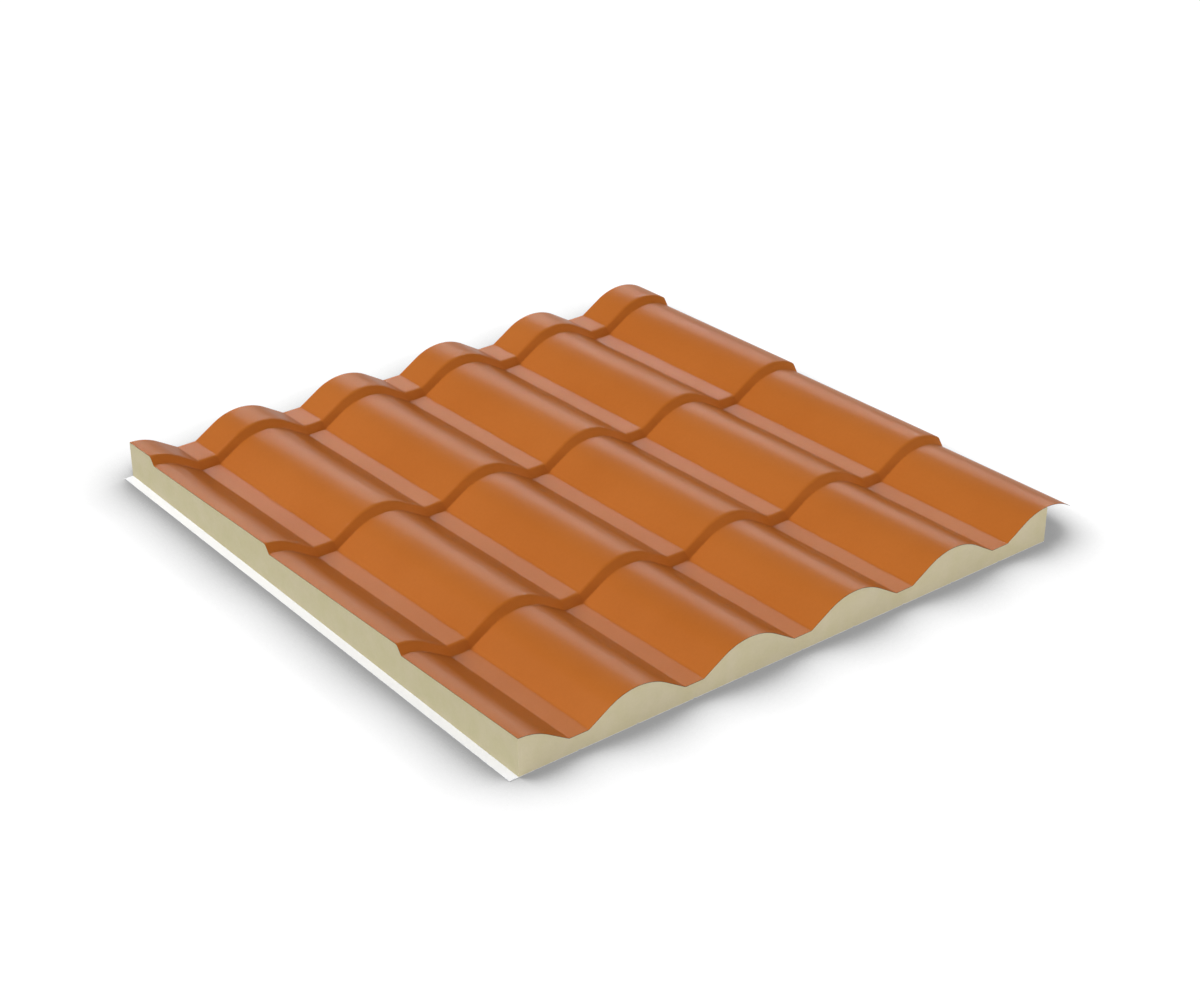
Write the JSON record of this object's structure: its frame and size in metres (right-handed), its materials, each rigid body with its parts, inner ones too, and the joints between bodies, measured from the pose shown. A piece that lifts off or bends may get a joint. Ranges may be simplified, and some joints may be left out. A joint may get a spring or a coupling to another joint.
{
  "type": "insulated sandwich roof panel",
  "caption": "Sandwich roof panel: a stepped, wavy steel sheet that looks like roof tiles, on a rigid foam core with a flat white liner, a side wing and a lip.",
  "frame": {"origin": "middle of the panel's footprint, wing and lip included, on the liner's underside", "axes": "+X across the tile rows from the lip to the wing, +Y up the slope from the eave end to the ridge end, +Z out of the roof"},
  "size_m": [1.067, 1.05, 0.0639],
  "materials": {
    "tile_sheet": "satin terracotta coil coating",
    "foam_core": "cut rigid polyurethane foam",
    "liner_sheet": "satin white coil coating"
  },
  "bodies": {
    "root": {"tile_sheet": "tile_sheet", "foam_core": "foam_core", "liner_sheet": "liner_sheet"}
  },
  "joints": []
}
